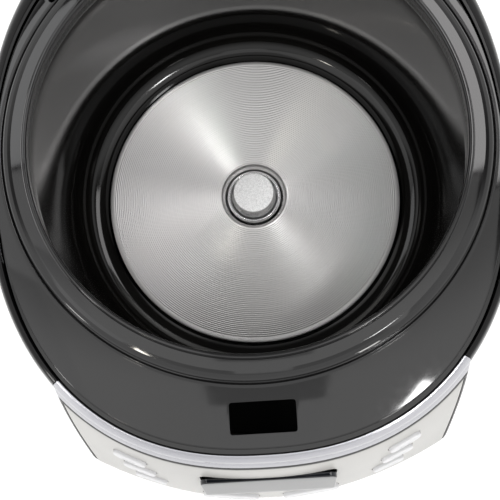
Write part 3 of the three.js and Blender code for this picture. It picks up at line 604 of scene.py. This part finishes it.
# ------------------------------------------------------------------ heating plate with its turned grooves
def crown(r):
    return PLATE_Z + CROWN * (1 - ((r - WELL_R) / (PLATE_R - WELL_R)) ** 2)


plate_loop = [(WELL_R - r, crown(WELL_R) - d) for r, d in ((2.45, 6.4), (2.45, 4.5), (2.4, 4.25), (2.25, 4.0), (1.9, 3.72), (1.4, 3.4), (0.95, 3.0), (0.66, 2.5), (0.5, 1.9), (0.38, 1.2), (0.28, 0.6), (0.16, 0.25), (0.04, 0.06))] + [(WELL_R + 0.2, crown(WELL_R) - 0.02)]
PITCH = 1.15
for k in range(int((PLATE_R - 1.4 - WELL_R - 0.6) / PITCH * 2)):  # two straight flanks to a groove
    rr = WELL_R + 0.6 + PITCH * k / 2
    plate_loop.append((rr, crown(rr) - 0.195 * (k % 2)))
plate_loop += [(PLATE_R - 0.7, crown(PLATE_R - 0.7)), (PLATE_R - 0.15, PLATE_Z - 0.1), (PLATE_R, PLATE_Z - 0.5), (PLATE_R, PLATE_Z - 5.5), (PLATE_R - 2, PLATE_Z - 7.5), (70, PLATE_Z - 8.5), (18, PLATE_Z - 8.5)]
finish_piece(build("turned_heating_plate", *ring_mesh(plate_loop, 288), M["plate"]), "housing", ["heating_plate"], angle=30)

# ------------------------------------------------------------------ sensor
sleeve_loop = fillets([(14.1, PLATE_Z - 22.4), (14.1, PLATE_Z + 0.8, 0.8), (15.2, PLATE_Z + 2.0, 1.4), (16.5, PLATE_Z + 0.6, 0.9), (16.5, PLATE_Z - 24), (6.6, PLATE_Z - 24), (6.6, PLATE_Z - 22.4)], 6)
finish_piece(build("sensor_cup", *ring_mesh(sleeve_loop, 192), M["polished"]), "housing", ["sensor_sleeve"], angle=60)
cap_loop = fillets([
    (0, S_TOP), (12.15, S_TOP, 0.5), (12.7, S_TOP - 2.0, 1.0), (13.5, S_TOP - 9.2, 1.0), (13.6, S_TOP - 15), (11.9, S_TOP - 15), (11.9, S_TOP - 3.4), (5.2, S_TOP - 3.4), (5.2, S_TOP - 30), (6.0, S_TOP - 31), (6.0, S_TOP - 37), (0, S_TOP - 37),
], 5, closed=False)
finish_piece(build("sensor_head", *ring_mesh(cap_loop, 128, closed=False), M["blasted"]), "sensor_cap", ["sensor_cap"])
spring_turn = [2 * math.pi * 5 * i / 320 for i in range(321)]
coil = smooth(place(dressed(wire([(8.6 * math.cos(a), 8.6 * math.sin(a), SPRING_LO + (SPRING_HI - SPRING_LO) * i / 320) for i, a in enumerate(spring_turn)], 0.7, 12), "wound_sensor_spring", M["steel"])), 60)
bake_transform(coil)
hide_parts("sensor_spring")

# ------------------------------------------------------------------ base pan and feet
def base_fn(r, th):
    return r if r < 300 else plan_r("deck", th) * 0.84 + plan_r("body", th) * 0.16 - 3.1 - (601 - r)


base = build("vented_base", *ring_mesh(fillets([(0, 8), (600, 8, 0.8), (600, 11), (601, 11.1), (601, 22, 0.4), (599, 22, 0.4), (599, 12), (0, 12)], 3, closed=False), 240, base_fn, closed=False), M["grained"])
slots = [moved(tablet(5, 28, 2.3, 0, 18), i * 14, sy * 44, 2) for i in range(-2, 3) for sy in (-1, 1)]
FEET = (("front_left", -64, -98), ("front_right", 64, -98), ("rear_left", -60, 88), ("rear_right", 60, 88))
cut(base, slots + [rod(5.3, (x, y, 4), (x, y, 20), 32) for _, x, y in FEET])
finish_piece(base, "housing", ["base_pan"])
foot_loop = fillets([(0, 0), (9.2, 0, 0.3), (9.8, 0.7, 0.3), (10.6, 0.05, 0.4), (11.2, 0.05, 0.8), (12.2, 1.6, 1.0), (13, 7.6, 0.7), (5, 7.6), (5, 12.4), (6.4, 12.4, 0.4), (6.2, 14.5, 0.8), (0, 15)], 4, closed=False)
for n, x, y in FEET:
    finish_piece(moved(build("rubber_foot_" + n, *ring_mesh(foot_loop, 72, closed=False), M["rubber"]), x, y), "housing", ["foot_" + n], angle=40)

# ------------------------------------------------------------------ console
TRIM_Z = 168.0


def face(x, z):
    k = min(1.0, max(0.0, (TRIM_Z + 4 - z) / 76))
    top, low = front_of(x, BODY, -0.6), 176 - 26 * (x / HALF) ** 2
    return top + (low - top) * k ** 0.8 - max(0.0, 96 - z) * 1.1


def back_of(x, z=0):
    return front_of(x, BODY, -11)


def trim_out(x, z):
    k = max(0.0, (z - 172.5) / 6.7)
    a, b = front_of(x, DECK, 0.7), face(x, min(z, TRIM_Z + 4))
    return b + (a + (b - a) * 0.12 - b) * min(1.0, k) ** 2.2


def on_face(ob, x, z, lift=0.0):
    e = 0.5
    dx = Vector((2 * e, -(face(x + e, z) - face(x - e, z)), 0)).normalized()
    dz = Vector((0, -(face(x, z + e) - face(x, z - e)), 2 * e)).normalized()
    n = dx.cross(dz).normalized()
    v = n.cross(dx).normalized()
    m = Matrix((dx, v, n)).transposed().to_4x4()
    ob.data.transform(Matrix.Translation((x, -face(x, z), z)) @ m @ Matrix.Translation((0, 0, lift)))
    return ob


H = HALF
tray = curved(-H, H, 84, TRIM_Z - 0.4, back_of, face, 40, 16, 1.6)
cut(tray, [
    curved(-H + 2, H - 2, 86, TRIM_Z - 2.4, lambda x, z: back_of(x) + 2, lambda x, z: face(x, z) - 2.4, 30, 10),
    curved(-H + 2, H - 2, 95.7, TRIM_Z - 2.4, lambda x, z: face(x, z) - 6, lambda x, z: face(x, z) + 6, 30, 10),
    block(-20, 20, -160, -120, 100, 118, 1.5),
])
finish_piece(dressed(tray, "console_tray", M["satin"]), "housing", ["console_housing"], angle=35)
KEYS = [("menu", -66, 148, 18, 9), ("timer", -64, 132, 18, 9), ("temperature", -61, 116, 18, 9), ("hour", 66, 148, 18, 9), ("minute", 64, 132, 18, 9), ("warm", 61, 116, 18, 9), ("start", -21, 106, 30, 10), ("cancel", 21, 106, 30, 10)]
fascia = curved(-H + 2.35, H - 2.35, 96.05, TRIM_Z - 2.75, lambda x, z: face(x, z) - 2.4, face, 44, 16, 0.7)
cut(fascia, [on_face(tablet(66, 32, 4, -10, 10), 0, 136)] + [on_face(tablet(w, h, h / 2 - 0.3, -10, 10), x, z) for _, x, z, w, h in KEYS])
finish_piece(dressed(fascia, "console_fascia", M["panel"]), "housing", ["front_panel"], angle=30)
lens = on_face(tablet(65.2, 31.2, 3.6, -1.4, 0.8, 0.5, 0.05, 10), 0, 136)
finish_piece(dressed(lens, "display_window", M["lens"]), "housing", ["display_lens"], angle=35)
for n, x, z, w, h in KEYS:
    cap = on_face(tablet(w - 0.9, h - 0.9, (h - 0.9) / 2 - 0.3, -1.6, 1.55, 0.7, 0.25, 10), x, z)
    cut(cap, [on_face(tablet(w * 0.42, 0.7, 0.34, 1.62, 3.0, 0, 0, 4), x, z)])
    finish_piece(dressed(cap, "rounded_key_" + n, M["key"]), "key_" + n, ["key_" + n], angle=35)
strip = curved(-H, H, TRIM_Z, 179.2, lambda x, z: front_of(x, DECK, 0.45), trim_out, 64, 22, 1.2, rz=0.25)
cut(strip, [strip_end(1, -0.17, 160), strip_end(-1, -0.17, 160)])
finish_piece(dressed(strip, "silver_strip", M["silver"]), "housing", ["panel_trim"], angle=40)

# ------------------------------------------------------------------ rear: power inlet, drip cup and its niche
REAR = 147.3
inlet = block(-16.5, 16.5, 116, 144, 27.5, 50.5, 1.2)
cut(inlet, [moved(tablet(24.5, 16.5, 3.5, 0, 40, n=8), 0, 119, 39, rx=-90)])
finish_piece(dressed(inlet, "inlet_socket_body", M["satin"]), "housing", ["power_inlet"])
for n, x, z in (("line", -7, 37), ("earth", 0, 41), ("neutral", 7, 37)):
    finish_piece(dressed(block(x - 1, x + 1, 119.3, 138, z - 2, z + 2, 0.45), "pin_" + n, M["steel"]), "housing", ["inlet_pin_" + n])
niche = block(-30.6, 30.6, 117, REAR - 1, 108.3, 151.7, 1.4)
cut(niche, [block(-28.6, 28.6, 118.8, 200, 110.3, 149.7, 1.0)])
finish_piece(dressed(niche, "niche_box", M["grained"]), "housing", ["cup_niche"])
cup = block(-27.8, 27.8, 120, REAR + 3.5, 111, 146.5, 1.4)
cut(cup, [block(-27.8, 27.8, REAR + 0.2, REAR + 3.5, 111, 149.2, 1.2)], "UNION")
cut(cup, [block(-26, 26, 122, REAR + 1.4, 113, 160, 1.2), moved(tablet(30, 9, 4, 0, 4, n=8), 0, REAR + 2.2, 121, rx=-90)])
finish_piece(dressed(cup, "drip_tray_cup", M["satin"]), "drip_cup", ["drip_cup"])

# ------------------------------------------------------------------ lid, drawn shut
LB, LZ = DECK_Z + 2.6, LIP + 4.4
DOME = [(-0.8, LB), (-0.9, LB + 12), (-5, LB + 23), (-15, LB + 33), (-34, LB + 41), (-70, LB + 46.4)]
VALVE_Y, BTN_Y, BTN_Z, TILT, LP_Y, LP_Z = 62.0, -117.0, LB + 40.2, 17, -127.0, LB + 14


def lid_fn(r, th):
    if r < 200:
        return r
    if r < 900:
        return max(4.0, plan_r("deck", th, r - 500))
    return (r - 1000) / 100 * (plan_r("deck", th) - 70)


dome = spline([(-0.8, LB + 0.9), (-0.8, LB + 5)] + DOME[1:], 6)
cover_loop = [(500 - 2.6, LB), (500 - 1.4, LB), (500 - 1.0, LB + 0.3)] + [(500 + d, z) for d, z in dome] + [(1000 + 100 * f, LB + 47.6 - 1.2 * f * f) for f in (0.8, 0.6, 0.4, 0.2)] + [(0, LB + 47.6), (0, LB + 45)]
cover_loop += [(1000 + 100 * f, LB + 45 - 0.9 * f * f) for f in (0.3, 0.7)] + [(500 + d - 2.2, z - (2.4 if i < 4 else 2.0)) for i, (d, z) in enumerate(DOME[:0:-1][1:])] + [(500 - 3.2, LB + 0.5)]
cover = build("lid_dome", *ring_mesh(cover_loop[:0:-1] + cover_loop[:1], 320, lid_fn), M["gloss"])


def on_button(ob):
    return moved(ob, 0, BTN_Y, BTN_Z, rx=TILT)


cut(cover, [rod(23, (0, VALVE_Y, LB + 20), (0, VALVE_Y, 300), 96), on_button(tablet(46, 20, 9, -16, 24, n=12)), block(-28.4, 28.4, 112, 140, LB - 5, LB + 12.6, 1.5)])
finish_piece(cover, "lid", ["lid_cover"], lid=True, angle=28)

liner_loop = fillets([
    (500 - 3.6, LB + 0.6, 0.5), (500 - 3.6, LB + 5.6, 0.6), (500 - 6.2, LB + 6.4, 0.6), (112.4, LZ + 2.2, 1.0), (112.4, LZ + 6.8, 0.8), (0, LZ + 6.8), (0, LZ + 4.8), (110.2, LZ + 4.8, 1.2), (110.2, LZ - 0.2, 0.8), (500 - 6.4, LB + 0.6, 0.5),
], 4)
liner = build("lid_underside", *ring_mesh(liner_loop, 256, lid_fn), M["satin"])
cut(liner, [rod(8.2, (-28, HINGE_Y, HINGE_Z), (28, HINGE_Y, HINGE_Z), 64, bevel=0.8), block(-28, 28, 113.4, HINGE_Y, LB + 1, LB + 10.4, 0.8), block(12.4, 16, -130.6, -123.4, LB + 5.5, LP_Z + 3.4, 0.4), block(-16, -12.4, -130.6, -123.4, LB + 5.5, LP_Z + 3.4, 0.4)], "UNION")
cut(liner, [
    rod(2.85, (-60, HINGE_Y, HINGE_Z), (60, HINGE_Y, HINGE_Z), 32), rod(6.6, (-14, HINGE_Y, HINGE_Z), (14, HINGE_Y, HINGE_Z), 48), block(-14, 14, HINGE_Y - 5, HINGE_Y + 20, HINGE_Z - 20, HINGE_Z + 20),
    rod(6.2, (0, 0, LZ), (0, 0, LZ + 20), 48), rod(15.6, (0, VALVE_Y, LZ), (0, VALVE_Y, LZ + 20), 64), block(-12, 12, -139.2, -123.6, LB - 4, LB + 16), rod(1.8, (-20, LP_Y, LP_Z), (20, LP_Y, LP_Z), 24),
])
finish_piece(liner, "lid", ["lid_liner"], lid=True)

plate2 = fillets([
    (0, LZ + 2.4), (30, LZ + 2.4, 0.6), (31, LZ + 1.9, 0.6), (34, LZ + 1.9, 0.6), (35, LZ + 2.4, 0.6), (60, LZ + 2.4, 1.6), (63, LZ + 0.6, 1.6), (97, LZ + 0.6, 1.2), (100, LZ + 1.6, 1.0), (104.5, LZ + 1.6, 0.3), (104.5, LZ + 2.8, 0.3),
    (99.6, LZ + 2.8, 1.0), (96.8, LZ + 1.8, 1.0), (63.4, LZ + 1.8, 1.2), (60.4, LZ + 3.6, 1.2), (0, LZ + 3.6),
], 5, closed=False)
disc = build("pressed_inner_lid", *ring_mesh(plate2, 256, closed=False), M["spun"])
cut(disc, [rod(4.4, (0, 0, LZ - 5), (0, 0, LZ + 9), 48)] + [rod(2.4, (8 * math.cos(i * math.pi / 3), VALVE_Y - 12 + 8 * math.sin(i * math.pi / 3), LZ - 5), (8 * math.cos(i * math.pi / 3), VALVE_Y - 12 + 8 * math.sin(i * math.pi / 3), LZ + 9), 24) for i in range(6)])
finish_piece(disc, "inner_lid_set", ["inner_lid"], lid=True)
seal_loop = fillets([(101.2, LZ + 1.2), (101.2, LZ - 0.2, 0.5), (104.4, LZ - 1.6, 0.8), (107.6, LZ - 2.4, 0.5), (109.4, LZ - 2.2, 0.7), (109.4, LZ + 3.9, 0.7), (101.2, LZ + 3.9, 0.5), (101.2, LZ + 3.2), (105.1, LZ + 3.2), (105.1, LZ + 1.2)], 4)
finish_piece(build("seal_ring", *ring_mesh(seal_loop, 256), M["silicone"]), "inner_lid_set", ["lid_gasket"], lid=True, angle=40)
knob_loop = fillets([(0, LZ - 5.4), (9, LZ - 5.4, 0.8), (10.4, LZ - 4.2, 0.8), (10.4, LZ - 1.2, 0.8), (9.2, LZ + 1.9), (4.0, LZ + 2.0), (4.0, LZ + 8.6), (5.4, LZ + 9.4, 0.4), (4.4, LZ + 11.6, 0.4), (0, LZ + 12)], 4, closed=False)
finish_piece(build("grip_knob", *ring_mesh(knob_loop, 144, lambda r, th: r - (0.5 * max(0.0, math.cos(12 * th)) if r > 9.6 else 0.0), closed=False), M["satin"]), "inner_lid_set", ["inner_lid_knob"], lid=True)

VZ = LB + 32
seat_loop = fillets([(14.8, LZ + 8), (22.2, VZ - 3, 0.6), (22.2, VZ + 8, 0.5), (20.4, VZ + 8, 0.5), (20.4, VZ - 1.4), (13, LZ + 10), (13, LZ + 5.6), (14, LZ + 5.6)], 4)
finish_piece(moved(build("valve_cup", *ring_mesh(seat_loop, 144), M["satin"]), 0, VALVE_Y), "lid", ["valve_seat"], lid=True, angle=40)
valve_loop = fillets([(0, VZ + 1), (19.2, VZ + 1, 0.4), (19.2, VZ + 9.2), (21.6, VZ + 9.6, 0.5), (21.6, VZ + 12.2, 1.0), (20.2, VZ + 13.6, 1.0), (12, VZ + 14.25), (6, VZ + 14.35), (0, VZ + 14.4)], 5, closed=False)
valve = moved(build("valve_cap", *ring_mesh(valve_loop, 144, closed=False), M["satin"]), 0, VALVE_Y)
cut(valve, [moved(tablet(3, w, 1.45, VZ + 3.6, VZ + 40, n=6), x, VALVE_Y) for x, w in ((-7, 16), (0, 18), (7, 16))])
finish_piece(valve, "steam_valve", ["steam_valve"], lid=True, angle=35)

button = on_button(tablet(45, 19, 8.6, -8.4, 0.6, 1.4, 0.0, 14))
cut(button, [on_button(block(-7, 7, -8, -2, -20.6, -8, 0.5))], "UNION")
finish_piece(dressed(button, "rounded_release_button", M["gloss"]), "release_button", ["release_button"], lid=True, angle=35)
hook = rod(3.6, (-11, LP_Y, LP_Z), (11, LP_Y, LP_Z), 48, bevel=0.3)
cut(hook, [block(-11, 11, -133.5, -130, DECK_Z - 8, LP_Z + 1, 0.35), block(-11, 11, -133.5, LP_Y, LP_Z - 3, LP_Z + 3, 0.35), block(-11, 11, -133.5, -126.3, DECK_Z - 8, DECK_Z - 5.2, 0.35), block(-7, 7, LP_Y, -113.5, LP_Z + 0.4, LP_Z + 2.7, 0.35)], "UNION")
cut(hook, [rod(1.85, (-20, LP_Y, LP_Z), (20, LP_Y, LP_Z), 24)])
finish_piece(dressed(hook, "catch_hook", M["satin"]), "latch_hook", ["latch_hook"], lid=True)

# ------------------------------------------------------------------ hinge
finish_piece(dressed(rod(2.5, (-46, HINGE_Y, HINGE_Z), (46, HINGE_Y, HINGE_Z), 48, bevel=0.5), "turned_hinge_pin", M["steel"]), "housing", ["hinge_pin"])
coil = wire([(-10 + 20 * i / 288, HINGE_Y + 4.4 * math.cos(2 * math.pi * 6 * i / 288), HINGE_Z + 4.4 * math.sin(2 * math.pi * 6 * i / 288)) for i in range(289)], 0.75, 12)
finish_piece(dressed(coil, "wound_hinge_spring", M["steel"]), "housing", ["hinge_spring"], angle=60)

# ------------------------------------------------------------------ the nodes that stay as the CAD has them
KEEP = {
    "base_pan": "grained", "console_housing": "satin", "front_panel": "panel", "display_lens": "lens", "panel_trim": "silver",
    "power_inlet": "satin", "cup_niche": "grained", "drip_cup": "satin", "lid_cover": "gloss", "lid_liner": "satin", "inner_lid": "spun", "lid_gasket": "silicone",
    "inner_lid_knob": "satin", "valve_seat": "satin", "steam_valve": "satin", "release_button": "gloss", "latch_hook": "satin",
    "relay": "satin", "filter_capacitor": "satin", "display_module": "satin", "power_board": "pcb", "control_board": "pcb", "side_heater_band": "mica", "transformer": "copper",
}
for n, o in NODES.items():
    if o.hide_render:
        continue
    key = KEEP.get(n)
    if key is None:
        key = "rubber" if n.startswith("foot_") else "key" if n.startswith("key_") else "steel"
    o.data.materials.clear()
    o.data.materials.append(M[key])
    o.data.shade_smooth()
    o.data.set_sharp_from_angle(angle=math.radians(32))

# ------------------------------------------------------------------ floor, light and camera
floor_mat, nt, bs = new_mat("studio_floor")
fn = noise(nt, 3.0, 2.0)
link(nt, ramp(nt, fn.outputs["Fac"], (0.92, 0.92, 0.92), (0.94, 0.94, 0.94)).outputs["Color"], bs.inputs["Base Color"])
bs.inputs["Roughness"].default_value = 0.9
bs.inputs["Emission Color"].default_value = (1, 1, 1, 1)
bs.inputs["Emission Strength"].default_value = 0.1
me = bpy.data.meshes.new("floor")
me.from_pydata([(-4, -4, 0), (4, -4, 0), (4, 4, 0), (-4, 4, 0)], [], [(0, 1, 2, 3)])
floor = bpy.data.objects.new("floor", me)
bpy.context.scene.collection.objects.link(floor)
me.materials.append(floor_mat)

world = bpy.data.worlds.new("studio")
bpy.context.scene.world = world
world.use_nodes = True
wt = world.node_tree
wc = wt.nodes.new("ShaderNodeTexCoord")
ws = wt.nodes.new("ShaderNodeSeparateXYZ")
link(wt, wc.outputs["Generated"], ws.inputs[0])



def world_step(out, *vals):
    n = wt.nodes.new("ShaderNodeMapRange")
    n.interpolation_type = "SMOOTHSTEP"
    for k, v in zip(("From Min", "From Max", "To Min", "To Max"), vals):
        n.inputs[k].default_value = v
    link(wt, out, n.inputs["Value"])
    return n.outputs["Result"]


def world_math(op, a, b):
    n = wt.nodes.new("ShaderNodeMath")
    n.operation = op
    for sock, v in zip(n.inputs, (a, b)):
        if isinstance(v, float):
            sock.default_value = v
        else:
            link(wt, v, sock)
    return n.outputs[0]


# pale all round, less overhead, and dark only high up behind the cooker
front = world_step(ws.outputs["Z"], 0.84, 0.96, 1.2, 0.8)
behind = world_step(ws.outputs["Z"], 0.58, 0.76, 1.2, 0.06)
side = world_step(ws.outputs["Y"], 0.0, 0.2, 0.0, 1.0)
sky = world_math("ADD", world_math("MULTIPLY", front, world_math("SUBTRACT", 1.0, side)), world_math("MULTIPLY", behind, side))
link(wt, sky, wt.nodes["Background"].inputs["Strength"])
wt.nodes["Background"].inputs["Color"].default_value = (1, 1, 1, 1)


def area(name, loc, target, sx, sy, power, color=(1, 1, 1)):
    d = bpy.data.lights.new(name, "AREA")
    d.shape, d.size, d.size_y, d.energy, d.color = "RECTANGLE", sx, sy, power, color
    o = bpy.data.objects.new(name, d)
    bpy.context.scene.collection.objects.link(o)
    o.location = loc
    o.rotation_mode = "QUATERNION"
    o.rotation_quaternion = (Vector(target) - Vector(loc)).to_track_quat("-Z", "Y")
    return o


TARGET = (0, SHIFT, 0.15)


def box_light(name, x0, x1, y0, y1, z, radiance, color=(1, 1, 1)):
    """A level softbox that gives the stated radiance straight down."""
    o = area(name, ((x0 + x1) / 2, (y0 + y1) / 2, z), ((x0 + x1) / 2, (y0 + y1) / 2, 0), x1 - x0, y1 - y0, radiance * math.pi * (x1 - x0) * (y1 - y0), color)
    o.rotation_quaternion = (1, 0, 0, 0)
    return o


box_light("over_left", -0.62, -0.18, -0.55, 0.2, 1.8, 0.95, (1.0, 0.995, 0.985))
box_light("far_left", -1.2, -0.62, -0.55, 0.2, 1.8, 0.85)
box_light("over_right", 0.13, 0.78, -0.55, 0.36, 1.8, 0.95, (1.0, 0.995, 0.985))
box_light("over_front", -0.18, 0.13, -0.75, -0.2, 1.8, 0.9)
box_light("side_left", -1.2, -0.52, 0.2, 0.5, 1.8, 1.4)
box_light("rear_right", 0.52, 1.2, 0.38, 1.2, 1.8, 5.4, (1.0, 0.985, 0.985))
box_light("rear_left", -1.2, -0.52, 0.52, 1.2, 1.8, 2.7, (0.985, 0.99, 1.0))
area("key", (0.445, -0.325, 1.62), TARGET, 0.13, 0.13, 46.0 * math.pi * 0.13 ** 2)
area("lamp_left", (-0.55, -0.51, 1.4), TARGET, 0.07, 0.07, 40.0 * math.pi * 0.07 ** 2, (1.0, 0.95, 0.85))
for name, az in (("strip_left", 210.0), ("strip_right", -58.0)):
    c, d = math.cos(math.radians(az)), math.sin(math.radians(az))
    area(name, (1.6 * c, 1.6 * d, 0.72), (0, 0, 0.18), 0.2, 0.7, 12.0 * math.pi * 0.14, (1.0, 0.985, 0.955))

# camera from the fit to the photo's circles
cam_data = bpy.data.cameras.new("camera")
cam_data.sensor_width, cam_data.lens = 36.0, 36.0 * 793.97 / 500.0
cam_data.clip_start, cam_data.clip_end = 0.01, 50.0
cam = bpy.data.objects.new("camera", cam_data)
bpy.context.scene.collection.objects.link(cam)
el, ax, ay, ro = (math.radians(v) for v in (75.019, -0.813, -3.741, -7.788))
rv, uv, fv = Vector((1, 0, 0)), Vector((0, math.sin(el), math.cos(el))), Vector((0, math.cos(el), -math.sin(el)))
f2 = fv * math.cos(ax) + rv * math.sin(ax)
r2 = rv * math.cos(ax) - fv * math.sin(ax)
f3 = f2 * math.cos(ay) + uv * math.sin(ay)
u3 = uv * math.cos(ay) - f2 * math.sin(ay)
r4 = r2 * math.cos(ro) + u3 * math.sin(ro)
u4 = u3 * math.cos(ro) - r2 * math.sin(ro)
turn = Matrix.Rotation(math.radians(4.0), 3, "Z")
r4, u4, f3 = turn @ r4, turn @ u4, turn @ f3
rot = Matrix((r4, u4, -f3)).transposed().to_4x4()
centre = Vector((0, SHIFT, PLATE_Z / 1000))
cam.matrix_world = Matrix.Translation(centre + turn @ (fv * -0.495)) @ rot
bpy.context.scene.camera = cam

bpy.context.scene.view_settings.view_transform = "Standard"
bpy.context.scene.view_settings.look = "None"
